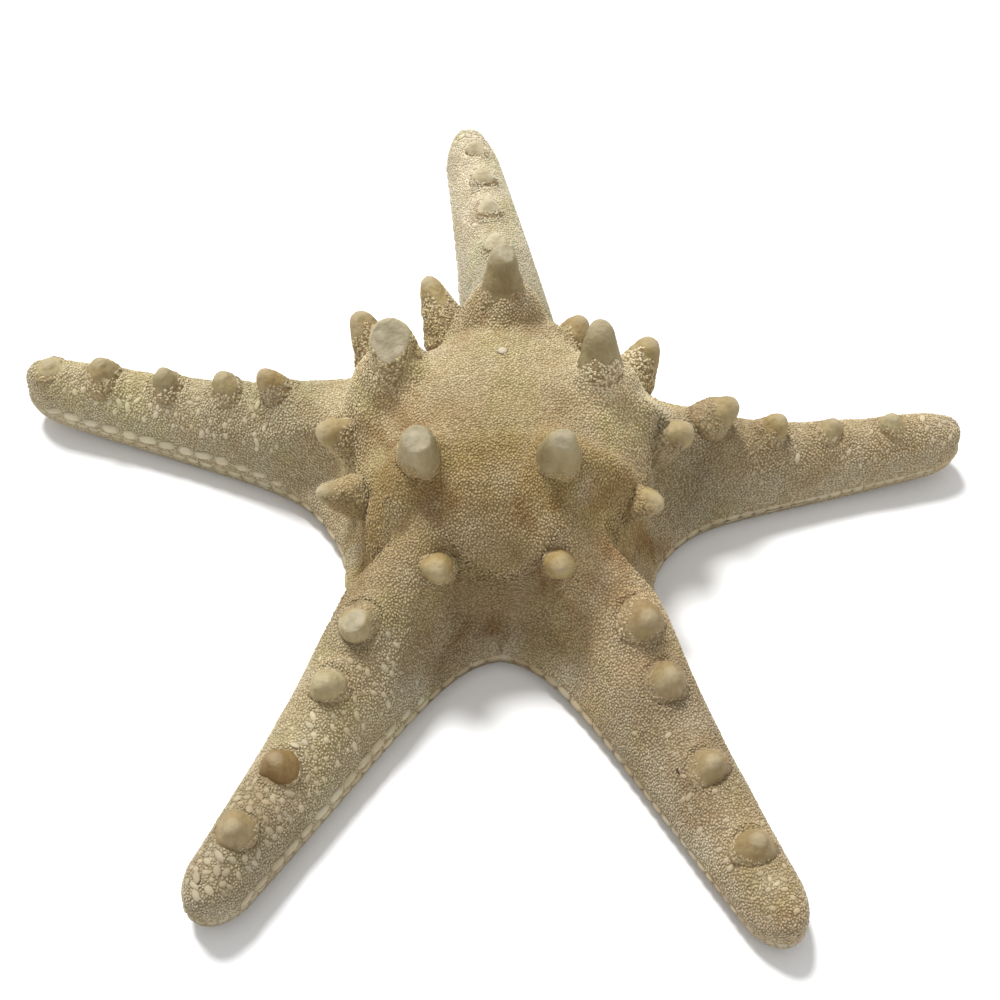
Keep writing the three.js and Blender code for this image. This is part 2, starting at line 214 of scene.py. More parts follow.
def outline_points():
    """Points (a, b) of one side's outline, from the tip to the web."""
    straight = ARM_LENGTH - TIP_LENGTH
    tip = straight + TIP_LENGTH * np.cos(np.linspace(0, math.pi / 2, 72, endpoint=False))
    side = straight - (straight - WEB_A) * np.linspace(0, 1, 200) ** 0.8
    a = np.concatenate([tip, side])
    return np.stack([a, half_width(a)], -1)


OUTLINE = outline_points()


def room(a, b):
    """Distance from each point to the star's outline."""
    p = np.stack([np.ravel(a), np.ravel(np.abs(b))], -1)
    start, step = OUTLINE[:-1], np.diff(OUTLINE, axis=0)
    length = (step ** 2).sum(-1) + 1e-12
    out = np.empty(len(p))
    for i in range(0, len(p), 4000):
        gap = p[i:i + 4000, None] - start[None]
        t = np.clip((gap * step).sum(-1) / length, 0, 1)
        out[i:i + 4000] = np.sqrt(((gap - t[..., None] * step) ** 2).sum(-1).min(1))
    return out.reshape(np.shape(a))


AXIS_A = np.arange(0, ARM_LENGTH + 1)
AXIS_ROOM = room(AXIS_A, AXIS_A * 0)


def crest(r):
    """Smooth curve through the crest table over the disc, then a slow fall along the arm."""
    x, y = CREST.T
    before = np.maximum(np.arange(len(x)) - 1, 0)
    after = np.minimum(np.arange(len(x)) + 1, len(x) - 1)
    slope = (y[after] - y[before]) / (x[after] - x[before])
    i = np.clip(np.searchsorted(x, r), 1, len(x) - 1)
    h = x[i] - x[i - 1]
    t = (r - x[i - 1]) / h
    bend = slope[i - 1] * h * t * (1 - t) ** 2 + slope[i] * h * t * t * (t - 1)
    disc = y[i - 1] + (y[i] - y[i - 1]) * t * t * (3 - 2 * t) + bend
    arm = ARM_CREST + (y[-1] - ARM_CREST) * np.exp(-(r - x[-1]) / ARM_CREST_FALL)
    return np.where(r < x[-1], disc, arm)


def star_height(a, b):
    """Height of the regular star: crest times a half-round section, cut back between the arms."""
    r = np.hypot(a, b)
    q = np.clip(room(a, b) / np.maximum(np.interp(r, AXIS_A, AXIS_ROOM), 1e-6), 0, 1)
    section = np.sqrt(np.clip(1 - (1 - q) ** 2, 0, 1))
    near = np.clip((ARM_LENGTH - a) / TIP_ROUNDING, 0, 1)
    end = np.clip(1 - (1 - near) ** 2, 0, 1) ** 0.2
    side = np.abs(np.degrees(np.arctan2(b, a)))
    cove = 1 - COVE_DEPTH * smooth((r - COVE_RADIUS) / 1.6) * smooth((side - COVE_ANGLE) / 6)
    return MARGIN_Z + (crest(r) - MARGIN_Z) * section * end * cove


# ------ from the regular star to this one
def place(k, a, b, z):
    """Turn by a weighted mean of the arms' offsets, stretch, bow, lean and lift arm k."""
    angle, length, width, bow, lift, height, lean = ARMS[k]
    theta = np.degrees(np.arctan2(b, a))
    turn = 0 * theta
    for i in range(5):
        away = (theta + (k - i) * SECTOR + 180) % 360 - 180
        weight = np.where(np.abs(away) < SECTOR, np.cos(np.pi * away / (2 * SECTOR)) ** 2, 0)
        turn += weight * (ARMS[i, 0] - i * SECTOR - FIRST_ARM)
    beyond = smooth((a - DISC_REACH) / 18)
    wide = b * (1 + (width - 1) * beyond)
    past = a - STRETCH_START
    far = a + past * (length / ARM_LENGTH - 1) * np.clip(past / 10, 0, 1)
    r = np.hypot(far, wide)
    phi = np.arctan2(wide, far) + np.radians(k * SECTOR + FIRST_ARM + turn)
    out = np.clip((a - BOW_START) / (ARM_LENGTH - BOW_START), 0, None)
    up = np.clip((z - MARGIN_Z) / LEAN_HEIGHT, 0, 1)
    leaning = lean * up ** 1.5 * smooth((a - DISC_REACH) / 14) * np.clip((97 - a) / 47, 0, 1)
    shift = bow * out ** 1.25 + leaning
    x = r * np.cos(phi) - math.sin(math.radians(angle)) * shift + DISC_CENTRE[0]
    y = r * np.sin(phi) + math.cos(math.radians(angle)) * shift + DISC_CENTRE[1]
    rise = np.maximum(0, z - MARGIN_Z) * (height - 1) * beyond
    curl = lift * np.clip((a - CURL_START) / (ARM_LENGTH - CURL_START), 0, None) ** 2.2
    return np.stack([x, y, z + rise + curl], -1)


KNOB_SPOTS = []
for k, row in enumerate(RIDGE_KNOBS):
    for a, radius, _, _, mound in row:
        on_axis = np.array(float(a)), np.array(0.0)
        spot = place(k, *on_axis, star_height(*on_axis))
        KNOB_SPOTS.append((spot[0], spot[1], radius, mound))


def bell(gap, reach, power=2.0):
    """Bell curve of a distance."""
    return np.exp(-(gap / reach) ** power)


def rise_along(x, y, start, end):
    """Distance across the table from each point to the line from start to end."""
    step = end - start
    t = np.clip(((x - start[0]) * step[0] + (y - start[1]) * step[1]) / (step @ step), 0, 1)
    return np.hypot(x - start[0] - t * step[0], y - start[1] - t * step[1])


def softer_max(first, second, blend):
    """The larger of two heights, rounded where they cross."""
    return np.maximum(first, second) + blend * np.log1p(np.exp(-np.abs(first - second) / blend))


def swelling(p, height):
    """Ridges from each tall horn to its two side horns, a mound and a low collar round each ridge
    knob, all bell curves of the distance across the table, then a cone of skin up each tall horn."""
    x, y = p[..., 0], p[..., 1]
    z = 0 * x
    for i, (foot, tip, radius, _) in enumerate(SIDE_HORNS):
        spot = foot + (tip - foot) * 0.25
        z = z + RIDGE_RISES[i] * bell(rise_along(x, y, HORNS[i // 2][0][:2], foot[:2]), RIDGE_REACH)
        z = z + SIDE_SKIRT * bell(rise_along(x, y, foot[:2], spot[:2]), 1.2 * radius, 1.8)
    for sx, sy, radius, mound in KNOB_SPOTS:
        gap = np.hypot(x - sx, y - sy)
        z = z + mound * bell(gap, 1.5 * radius) + KNOB_COLLAR * bell(gap - 1.12 * radius, 0.8)
    z = z * np.clip((height - 6) / 8, 0, 1)
    for (foot, tip, radius, tip_radius), top in zip(HORNS, HORN_COLLARS):
        up = (top - foot[2]) / (tip[2] - foot[2])
        spot = foot + (tip - foot) * up
        reach = radius + (tip_radius - radius) * up
        gap = np.maximum(np.hypot(x - spot[0], y - spot[1]) - reach, 0)
        cone = top - COLLAR_SLOPE * gap - COLLAR_CURVE * gap ** 2
        z = np.where(cone > 20, softer_max(p[..., 2] + z, cone, 0.8) - p[..., 2], z)
    return z


def waves(p, count, shortest, longest, seed):
    """Gentle unevenness: a sum of sine waves in random directions, about -1 to 1."""
    rng = np.random.default_rng(seed)
    total = np.zeros(p.shape[:-1])
    for _ in range(count):
        d = unit(rng.normal(size=3))
        total += np.sin(p @ d * (2 * np.pi / rng.uniform(shortest, longest)) + rng.uniform(0, 7))
    return total / math.sqrt(count / 2) / 2


def upper(k, a, b):
    """Point of the upper skin over (a, b) of arm k."""
    height = star_height(a, b)
    p = place(k, a, b, height)
    p[..., 2] += swelling(p, height)
    uneven = 0.35 * waves(p, 14, 9, 22, 5) + 0.12 * waves(p, 14, 3, 6, 6)
    p[..., 2] += uneven * np.clip((height - MARGIN_Z) / 5, 0, 1)
    return p


def groove_at(a):
    """Share of the groove's depth left at a, and its half width there."""
    run = np.clip((GROOVE_END - a) / GROOVE_FADE, 0, 1) ** 0.5
    return run, GROOVE_HALF_WIDTH * (0.35 + 0.65 * run)


def sole(k, a, b):
    """Flat sole with a rounded edge, a V groove along the arm and a round mouth."""
    edge = np.clip(room(a, b) / SOLE_INSET, 0, 1)
    z = GRAIN_ROOM + (MARGIN_Z - GRAIN_ROOM) * (1 - np.sqrt(1 - (1 - edge) ** 2))
    run, width = groove_at(a)
    groove = GROOVE_DEPTH * run * smooth(1.15 * (1 - np.abs(b) / (width + 0.6)))
    mouth = MOUTH_DEPTH * smooth(1.5 * (1 - np.hypot(a, b) / MOUTH_RADIUS))
    return place(k, a, b, z + np.maximum(groove, mouth))


def frame_on(surface, k, a, b, side=1):
    """Point, outward normal and direction along the arm of a skin; side is -1 on the sole."""
    e = 0.12
    along = surface(k, a + e, b) - surface(k, a - e, b)
    across = surface(k, a, b + e) - surface(k, a, b - e)
    n = unit(np.cross(along, across) * side)
    return surface(k, a, b), n, unit(along - (along * n).sum(-1, keepdims=True) * n)


# ------ mesh helpers
def lay_map(mesh, points):
    """UV map in two halves: faces that look up, seen from above, then the rest, seen from below."""
    flat = points[:, :2] - points[:, :2].min(0)
    flat = flat / flat.max() * 0.98 + 0.01
    corner = np.empty(len(mesh.loops), np.int32)
    mesh.loops.foreach_get("vertex_index", corner)
    sizes = np.empty(len(mesh.polygons), np.int32)
    mesh.polygons.foreach_get("loop_total", sizes)
    normals = np.empty(len(mesh.polygons) * 3, np.float32)
    mesh.polygons.foreach_get("normal", normals)
    under = np.repeat(normals[2::3] < 0, sizes)
    uv = flat[corner]
    uv[:, 0] = (uv[:, 0] + under) / 2
    mesh.uv_layers.new(name="OFBake").data.foreach_set("uv", uv.astype(np.float32).ravel())


def make_object(name, points, faces, attributes=None, mapped=True):
    """Mesh object from millimetre points. Attributes are point values, floats or colours."""
    mesh = bpy.data.meshes.new(name)
    points = np.asarray(points)
    mesh.from_pydata((points * MM).tolist(), [], faces if isinstance(faces, list) else faces.tolist())
    mesh.polygons.foreach_set("use_smooth", np.ones(len(mesh.polygons), bool))
    for key, values in (attributes or {}).items():
        values = np.asarray(values, dtype=np.float32)
        if values.ndim == 1:
            mesh.attributes.new(key, "FLOAT", "POINT").data.foreach_set("value", values)
        else:
            rgba = np.concatenate([values, np.ones((len(values), 1), np.float32)], 1)
            mesh.attributes.new(key, "FLOAT_COLOR", "POINT").data.foreach_set("color", rgba.ravel())
    mesh.update()
    if mapped:
        lay_map(mesh, points)
    obj = bpy.data.objects.new(name, mesh)
    bpy.context.collection.objects.link(obj)
    return obj


def grid_faces(rows, columns, wrap=False):
    """Quads of a grid of rows by columns points, stored row by row."""
    i, j = np.meshgrid(np.arange(rows - 1), np.arange(columns if wrap else columns - 1), indexing="ij")
    j2 = (j + 1) % columns
    quads = [i * columns + j, (i + 1) * columns + j, (i + 1) * columns + j2, i * columns + j2]
    return np.stack(quads, -1).reshape(-1, 4)


def weld(points, faces, values):
    """Merge points that coincide and drop the corners that vanish."""
    key = np.round(points * 2000).astype(np.int64)
    _, first, inverse = np.unique(key, axis=0, return_index=True, return_inverse=True)
    inverse = inverse.ravel()
    kept = []
    for face in inverse[faces].tolist():
        ring = [v for i, v in enumerate(face) if v != face[i - 1]]
        if len(set(ring)) == len(ring) and len(ring) > 2:
            kept.append(ring)
    return points[first], kept, {key: value[first] for key, value in values.items()}


def srgb(*rgb):
    """Linear colour of a screen colour given as 0 to 255."""
    c = np.array(rgb) / 255.0
    return np.where(c < 0.04045, c / 12.92, ((c + 0.055) / 1.055) ** 2.4)


# ------ body
DISC_ROWS = 36
ARM_ROWS = 92
COLUMNS = 64
SOLE_COLUMNS = 30


def painted_far_light(arm, a):
    """Share of painted light out along the far arm, which lightens its skin and the feet of its grains.
    """
    return (arm == FAR) * smooth((a - 32) / 10)


def body_grid(across):
    """Rows of points out along one arm, at the given shares across it: a, b, and which lie on the
    margin. Rows are even over the disc, then closer together towards the tip."""
    row = np.arange(DISC_ROWS + ARM_ROWS + 1)
    t = np.clip((row - DISC_ROWS) / ARM_ROWS, 0, 1)
    on_disc = row <= DISC_ROWS
    beyond = WEB_A + (ARM_LENGTH - WEB_A) * (1 - (1 - t) ** 1.35)
    a = np.where(on_disc, WEB_A * row / DISC_ROWS, beyond)
    reach = np.where(on_disc, a * math.tan(HALF), half_width(a))
    b = reach[:, None] * across
    rim = np.zeros(b.shape, bool)
    rim[DISC_ROWS:, [0, -1]] = True
    rim[-1] = True
    return np.repeat(a[:, None], len(across), 1), b, rim


def make_body():
    """Ten skins, an upper and a sole for each arm, that share their edges, welded into one solid.
    Columns crowd towards the margin above, and towards the groove below."""
    v = np.linspace(-1, 1, COLUMNS + 1)
    w = np.linspace(-1, 1, SOLE_COLUMNS + 1)
    skins = ((upper, np.sin(v * np.pi / 2)), (sole, np.sign(w) * np.abs(w) ** 0.8))
    points, faces, tints, start = [], [], [], 0
    for k in range(5):
        for build, across in skins:
            a, b, rim = body_grid(across)
            p = build(k, a, b)
            p[rim] = place(k, a[rim], b[rim], np.full(rim.sum(), MARGIN_Z))
            points.append(p.reshape(-1, 3))
            quads = grid_faces(*a.shape) + start
            faces.append(quads if build is upper else quads[:, ::-1])
            start += a.size
            a, b = a.ravel(), b.ravel()
            # Painted light: the skin out along the far arm is made up to 30 percent lighter.
            gaps = 1 + 0.3 * painted_far_light(k, a)
            tints.append(skin_tint(np.full(a.size, k), a, b, points[-1]) * gaps[:, None])
    welded = weld(np.concatenate(points), np.concatenate(faces), {"tint": np.concatenate(tints)})
    return make_object("body", *welded)


# ------ horns and knobs
def horn_surface(foot, tip, foot_radius, tip_radius, seed, broken=None):
    """Returns at(q, phi), the point at share q of the way up and angle phi round a turned horn.

    The radius falls evenly from foot to tip, flares at the foot, and closes as a rounded end. Low
    harmonics of the angle and fine waves make it uneven. broken is (share of the height, normal,
    roughness) of a plane that cuts the top off; at also returns how far each point was cut.
    """
    rng = np.random.default_rng(seed)
    n = unit(tip - foot)
    side = unit(np.cross(n, (0.31, 0.95, 0.05)))
    other = np.cross(n, side)
    height = np.linalg.norm(tip - foot)
    ratio = tip_radius / foot_radius
    end = np.clip(1.1 * tip_radius / height, 0, 0.75)
    turn_two, turn_three = rng.uniform(0, 6, 2)

    def at(q, phi):
        cone = 1 + (ratio - 1) * np.clip(q / (1 - end / 2), 0, 1) ** 0.95
        closing = np.clip((q - (1 - end)) / end, 0, 1)
        radius = foot_radius * cone * np.clip(1 - closing ** 2.2, 0, 1) ** 0.55
        radius = radius * (1 + 0.05 * np.sin(2 * phi + turn_two) + 0.035 * np.sin(3 * phi + turn_three))
        out = np.cos(phi)[..., None] * side + np.sin(phi)[..., None] * other
        p = foot + (height * q)[..., None] * n + radius[..., None] * out
        swell = 0.3 * waves(p, 16, 2.5, 6, seed + 9) + 0.07 * waves(p, 16, 0.9, 1.8, seed + 5)
        p = p + (radius / foot_radius * swell)[..., None] * out
        gone = 0 * q
        if broken:
            share, normal, rough = broken
            normal = unit(np.array(normal))
            over = (p - foot - (tip - foot) * share) @ normal + rough * waves(p, 10, 2.0, 5.0, seed + 1)
            gone = smooth(over / 0.5 + 0.3)
            p = p - np.maximum(over, 0)[..., None] * normal
        return p, gone

    return at, height


def skin_line(line, seed, phi):
    """Share of the height up to which the skin climbs a horn, wavy round it."""
    rng = np.random.default_rng(seed + 3)
    first, second = rng.uniform(0, 6, 2)
    return line * (1 + 0.16 * np.sin(2 * phi + first) + 0.12 * np.sin(5 * phi + second))


def horn_mesh(at, height, line, seed, sunk, rings, around):
    """Grid of a horn's surface, closed at both ends, from sunk below its foot."""
    q = np.concatenate([[-sunk / height], np.linspace(0, 1, rings) ** 0.9])
    q, phi = np.meshgrid(q, np.linspace(0, 2 * np.pi, around, endpoint=False), indexing="ij")
    p, gone = at(q, phi)
    skinned = (1 - smooth((q - skin_line(line, seed, phi)) / 0.06 + 0.5)) * (1 - gone)
    faces = grid_faces(rings + 1, around, wrap=True)[:, ::-1].tolist()
    last = rings * around
    faces.append(list(range(around))[::-1])
    faces.append(list(range(last, last + around)))
    values = {"high": q.clip(0, 1), "broken": gone, "skinned": skinned}
    return p.reshape(-1, 3), faces, {key: value.ravel() for key, value in values.items()}


# Tints of horns and knobs, as seen in daylight.
GREY = srgb(150, 137, 101)
WAX = srgb(160, 144, 106)
TAN = srgb(163, 145, 103)
BROWN = srgb(138, 112, 70)
PALE = srgb(170, 158, 122)
DULL = srgb(152, 134, 97)
OCHRE = srgb(164, 144, 98)
BLEACHED = srgb(200, 190, 160)
HORN_TINTS = [GREY, GREY, PALE, GREY, GREY]
SIDE_TINTS = [TAN, TAN, TAN, TAN, WAX, TAN, WAX, OCHRE, OCHRE, TAN]
RIDGE_TINTS = [[WAX, TAN, WAX, PALE], [BLEACHED] * 5, [TAN, WAX, GREY, WAX, PALE],
               [PALE, PALE, BROWN, DULL], [DULL] * 4]
# Share of the height, normal and roughness of each break.
HORN_BREAKS = {FAR: (0.97, (0.3, -0.25, 0.9), 0.2), LEFT: (0.9, (0.05, -0.5, 0.86), 0.12),
               NEAR_LEFT: (0.9, (0.1, -0.3, 0.95), 0.3), NEAR_RIGHT: (0.95, (0.25, -0.5, 0.8), 0.15)}
RIDGE_BREAKS = {(NEAR_LEFT, 0): (0.82, (-0.1, -0.1, 0.95), 0.25)}
# Share of the height up to which the skin climbs.
HORN_SKIN = [0.5, 0.46, 0.76, 0.44, 0.34]
SIDE_SKIN = [0.62, 0.62, 0.5, 0.68, 0.6, 0.55, 0.75, 0.6, 0.55, 0.76]
RIDGE_SKIN = [[0.45, 0.4, 0.4, 0.4], [0.35] * 5, [0.5, 0.45, 0.4, 0.4, 0.35],
              [0.34, 0.3, 0.12, 0.2], [0.4, 0.34, 0.32, 0.3]]
# How deep each kind goes below its foot, and its points up and round.
HORN_GRID = 5, 30, 44
SIDE_GRID = 4, 22, 34
RIDGE_GRID = 2.5, 18, 30


def join(parts):
    """Join (points, faces, values) parts into one mesh's data."""
    offset = np.cumsum([0] + [len(part[0]) for part in parts])
    points = np.concatenate([part[0] for part in parts])
    faces = [[v + at for v in face] for part, at in zip(parts, offset) for face in part[1]]
    keys = parts[0][2].keys()
    return points, faces, {key: np.concatenate([part[2][key] for part in parts]) for key in keys}


def all_horns():
    """Every horn and knob: its surface, height, seed, tint, skin line and grid, then its arm and
    how far out it stands, both 0 on the disc."""
    for i, horn in enumerate(HORNS):
        made = horn_surface(*horn, 40 + i, HORN_BREAKS.get(i))
        yield *made, 40 + i, HORN_TINTS[i], HORN_SKIN[i], HORN_GRID, 0, 0
    for i, horn in enumerate(SIDE_HORNS):
        yield *horn_surface(*horn, 60 + i), 60 + i, SIDE_TINTS[i], SIDE_SKIN[i], SIDE_GRID, 0, 0
    for k, row in enumerate(RIDGE_KNOBS):
        for i, (a, radius, height, lean, _) in enumerate(row):
            p, n, along = frame_on(upper, k, np.array(float(a)), np.array(0.0))
            axis = n * math.cos(math.radians(lean)) + along * math.sin(math.radians(lean))
            seed = 80 + 7 * k + i
            ends = p - axis * 0.9, p + axis * height
            made = horn_surface(*ends, radius, radius * 0.5, seed, RIDGE_BREAKS.get((k, i)))
            yield *made, seed, RIDGE_TINTS[k][i], RIDGE_SKIN[k][i], RIDGE_GRID, k, a


def make_knobs():
    """All horns and knobs as one mesh."""
    parts = []
    for at, height, seed, tint, line, grid, _, _ in all_horns():
        p, faces, values = horn_mesh(at, height, line, seed, *grid)
        parts.append((p, faces, {"tint": np.repeat([tint], len(p), 0), **values}))
    return make_object("horns_and_knobs", *join(parts), mapped=False)


# ------ grains, pebbles and plates
def dome(sides, levels, square=1.0):
    """Unit dome: rings that shrink as a quarter circle, closed by an apex and by a flat base that
    sinks into the skin. A square of less than 1 pulls the round plan out towards its corners."""
    turn = np.arange(levels) / levels * np.pi / 2
    phi = np.linspace(0, 2 * np.pi, sides, endpoint=False)
    ring = np.stack([np.cos(phi), np.sin(phi)], -1)
    ring = np.sign(ring) * np.abs(ring) ** square
    xy = np.cos(turn)[:, None, None] * ring
    z = np.repeat(np.sin(turn)[:, None], sides, 1)
    points = np.concatenate([np.concatenate([xy, z[..., None]], -1).reshape(-1, 3), [[0, 0, 1]]])
    faces = [(0, j + 1, j) for j in range(1, sides - 1)]
    for i in range(levels - 1):
        for j in range(sides):
            k = (j + 1) % sides
            faces += [(i * sides + j, i * sides + k, (i + 1) * sides + k),
                      (i * sides + j, (i + 1) * sides + k, (i + 1) * sides + j)]
    top = (levels - 1) * sides
    faces += [(top + j, top + (j + 1) % sides, top + sides) for j in range(sides)]
    return points, np.array(faces)


def domes(name, template, centre, normal, along, length, width, height, sink, tint, dusty=1.0):
    """One joined mesh of domes. A dome's point is centre + x·length·along + y·width·across +
    (z·height - sink)·normal. low is dusty at the foot and 0 at the top, for the dirt in the gaps."""
    points, faces = template
    count = len(centre)
    across = np.cross(normal, along)
    size = np.stack(np.broadcast_arrays(length, width, height), -1)
    local = points[None] * size[:, None]
    p = (centre[:, None] + local[..., :1] * along[:, None] + local[..., 1:2] * across[:, None]
         + (local[..., 2:] - np.reshape(sink, (-1, 1, 1))) * normal[:, None])
    all_faces = faces[None] + (np.arange(count) * len(points))[:, None, None]
    low = np.tile(1 - points[:, 2], count) * np.repeat(np.broadcast_to(dusty, count), len(points))
    tints = np.repeat(tint, len(points), 0)
    return make_object(name, p.reshape(-1, 3), all_faces.reshape(-1, 3), {"tint": tints, "low": low})


def columns(rows):
    """The columns of rows of arrays, each joined end to end."""
    return [np.concatenate(column) for column in zip(*rows)]


def tree_of(spots):
    """Search tree of points."""
    tree = KDTree(len(spots))
    for i, spot in enumerate(spots.tolist()):
        tree.insert(spot, i)
    tree.balance()
    return tree


# Candidate places for each unit of density, the widest reach of an arm's fifth, and the range of
# depths below the skin's top that the rim's own candidates have.
CANDIDATES = 2400
WIDEST = 30.0
RIM_DEPTHS = 0.18, 0.65


def scatter(surface, gap, density, seed, want=None):
    """Random places on a skin at least gap apart: many candidates, taken in random order, each
    striking out those near it. want(k, a, b) gives the chance that a candidate is used."""
    rng = np.random.default_rng(seed)
    count = int(density * CANDIDATES)
    run = np.concatenate([[0], np.cumsum(np.linalg.norm(np.diff(OUTLINE, axis=0), axis=1))])
    rows = []
    for k in range(5):
        a = ARM_LENGTH * rng.uniform(0, 1, 3 * count)
        b = WIDEST * rng.uniform(-1, 1, 3 * count)
        # The steep rim and tip look small from above, so they get candidates of their own.
        where = rng.uniform(0, run[-1], count)
        rim_a, rim_b = (np.interp(where, run, x) for x in OUTLINE.T)
        inner = np.minimum(rim_a, ARM_LENGTH - TIP_LENGTH)
        inward = np.sqrt(1 - rng.uniform(*RIM_DEPTHS, count) ** 2)
        a = np.concatenate([a, inner + (rim_a - inner) * inward])
        b = np.concatenate([b, rim_b * inward * rng.choice([-1, 1], count)])
        reach = np.where(a < WEB_A, a * math.tan(HALF), half_width(np.minimum(a, ARM_LENGTH)))
        keep = np.abs(b) < reach - 0.02
        if want:
            keep &= rng.uniform(0, 1, len(a)) < want(k, a, b)
        a, b = a[keep], b[keep]
        rows.append((np.full(len(a), k), a, b, surface(k, a, b)))
    arm, a, b, spots = columns(rows)
    tree = tree_of(spots)
    alive = np.ones(len(spots), bool)
    kept = []
    for i in rng.permutation(len(spots)).tolist():
        if alive[i]:
            kept.append(i)
            for _, j, _ in tree.find_range(spots[i], gap):
                alive[j] = False
    return arm[kept], a[kept], b[kept]


def frames_at(surface, arm, a, b, side=1):
    """frame_on for places on several arms."""
    p, n, t = np.empty((len(a), 3)), np.empty((len(a), 3)), np.empty((len(a), 3))
    for k in range(5):
        on = arm == k
        p[on], n[on], t[on] = frame_on(surface, k, a[on], b[on], side)
    return p, n, t


def turned(along, normal, angle):
    """Directions turned round their normals."""
    return np.cos(angle)[:, None] * along + np.sin(angle)[:, None] * np.cross(normal, along)


def knob_gap(p):
    """Distance to the nearest horn or knob axis, less its radius there."""
    gap = np.full(len(p), 99.0)
    for foot, tip, radius, tip_radius in HORNS + SIDE_HORNS:
        height = np.linalg.norm(tip - foot)
        up = (p - foot) @ (tip - foot) / height
        off = np.linalg.norm(p - foot - up[:, None] * (tip - foot) / height, axis=1)
        there = radius + (tip_radius - radius) * np.clip(up / height, 0, 1)
        gap = np.minimum(gap, np.where((up > -4) & (up < height), off - there, 99))
    for x, y, radius, _ in KNOB_SPOTS:
        gap = np.minimum(gap, np.hypot(p[:, 0] - x, p[:, 1] - y) - radius)
    return gap


# Skin colour of the disc and of each arm.
DISC_SKIN = np.array((0.46, 0.37, 0.22))
DISC_SKIN_REACH = 30.0
ARM_SKINS = np.array([(0.40, 0.325, 0.20), (0.445, 0.405, 0.305), (0.46, 0.40, 0.26),
                      (0.40, 0.335, 0.21), (0.42, 0.33, 0.205)])
# How much paler or darker each arm grows towards its tip, and along its middle.
TIP_GAINS = np.array([0.25, 0.45, 0.25, -0.12, 0.05])
MIDDLE_GAINS = np.array([0, 0, 0, 0.25, -0.16])
BROWN_SKIN = np.array((0.33, 0.225, 0.115))
PALE_SKIN = np.array((0.50, 0.45, 0.335))
OLIVE_CAST = np.array((0.93, 0.98, 0.80))
VALLEY = 39, -4  # middle of the painted shadow beside the disc, at the root of the right arm


def blend(first, second, share):
    """Mix of two rows of colours, by a share for each row."""
    return first * (1 - share[:, None]) + second * share[:, None]


def skin_tint(arm, a, b, p):
    """Disc colour fading into the arm's, mottled with brown and olive, with painted light and painted
    shade zone by zone, and paler at the margins and tips."""
    x, y = p[:, 0] - DISC_CENTRE[0], p[:, 1]
    out = smooth((a - DISC_SKIN_REACH) / 20)
    tint = blend(DISC_SKIN, ARM_SKINS[arm], out)
    tint = tint * (1 + TIP_GAINS[arm] * smooth((a - 52) / 35))[:, None]
    tint = tint * (1 + MIDDLE_GAINS[arm] * between(a, 48, 88, 12, 12))[:, None]
    # Painted shade: the disc grows darker and browner towards the front, away from the key light.
    front = smooth((2 - y) / 26) * (1 - out)
    brown = smooth(waves(p, 12, 14, 34, 21) * 1.3 + 0.15) * smooth(waves(p, 12, 4, 9, 22) + 0.5)
    # The brown mottles are the skin's own colour; the share added towards the front is painted shade.
    tint = blend(tint, BROWN_SKIN, (0.5 + 0.35 * front) * brown * (1 - 0.6 * out) + 0.25 * front)
    tint = blend(tint, tint * OLIVE_CAST, 0.5 * smooth(waves(p, 12, 10, 26, 24) * 1.5))

    # Painted shade over the front slope and steep front wall of the disc.
    low_front = between(y, -33, -12, 8, 8) * (1 - out)
    # Painted light on the disc's left and right shoulders, which the key light leaves too dark.
    flanks = smooth((np.abs(x) - 10) / 8) * smooth((y + 16) / 8) * (1 - out)
    # Painted light on the back of the disc's crown.
    crown = smooth((y + 9) / 12) * (1 - out)
    # Painted light on the disc's right shoulder.
    right_shoulder = smooth((x - 12) / 8) * smooth((y + 15) / 8) * (1 - out)
    # Painted shadow of the disc in the valley at the root of the right arm.
    valley = smooth((12 - np.hypot(p[:, 0] - VALLEY[0], y - VALLEY[1])) / 8)
    # Painted light on the near right arm next to the disc.
    root = (arm == NEAR_RIGHT) * between(a, 26, 58, 8, 10)
    r, side = np.hypot(a, b), np.degrees(np.arctan2(b, a))
    # Painted shade on the steep wall between the two near arms, below the disc's front edge.
    facing = (arm == NEAR_LEFT) * smooth((side - 12) / 5) + (arm == NEAR_RIGHT) * smooth((-side - 12) / 5)
    step = facing * smooth((r - COVE_RADIUS + 0.2) / 0.8)
    # Each zone makes the tint lighter or darker: these are painted light and painted shade.
    for zone, change in (
        (front, (-0.02, -0.03, -0.05)),
        (low_front, (-0.06, -0.1, -0.25)),
        (flanks, (0.14, 0.16, 0.18)),
        (crown, (0.14, 0.17, 0.22)),
        (right_shoulder, (0.16, 0.2, 0.26)),
        (valley, (-0.32, -0.32, -0.32)),
        (root, (0.2, 0.2, 0.2)),
        (step, (-0.2, -0.2, -0.2)),
    ):
        tint = tint * (1 + zone[:, None] * np.array(change))

    reach = np.where(a < WEB_A, 1e3, half_width(np.minimum(a, ARM_LENGTH - 1)))
    edge = smooth((np.abs(b) / reach - 0.55) / 0.4)
    pale = np.clip(0.4 * edge + 0.25 * smooth((a - 92) / 14), 0, 0.6) + 0.25 * waves(p, 10, 6, 15, 23)
    return blend(tint, PALE_SKIN, np.clip(pale, 0, 1))


PLATE_PITCH = 4.2
PLATE_TAPER = 0.5
# How far the plates stand out on each arm, on its clockwise and counter-clockwise sides.
PLATE_BOLDNESS = np.array([(0.45, 0.4), (0.6, 0.6), (0.7, 0.3), (0.5, 0.3), (0.45, 0.3)])
# Rise from the margin, tilt in degrees and set-back of the upper and the lower row.
PLATE_ROWS = ((1.25, 35, 0.25), (-1.5, -28, 0.4))
GRAIN = dome(4, 2)
PEBBLE = dome(7, 2)
PLATE = dome(10, 3, 0.7)
SPINE = dome(6, 2)
UP = np.array([0, 0, 1.0])


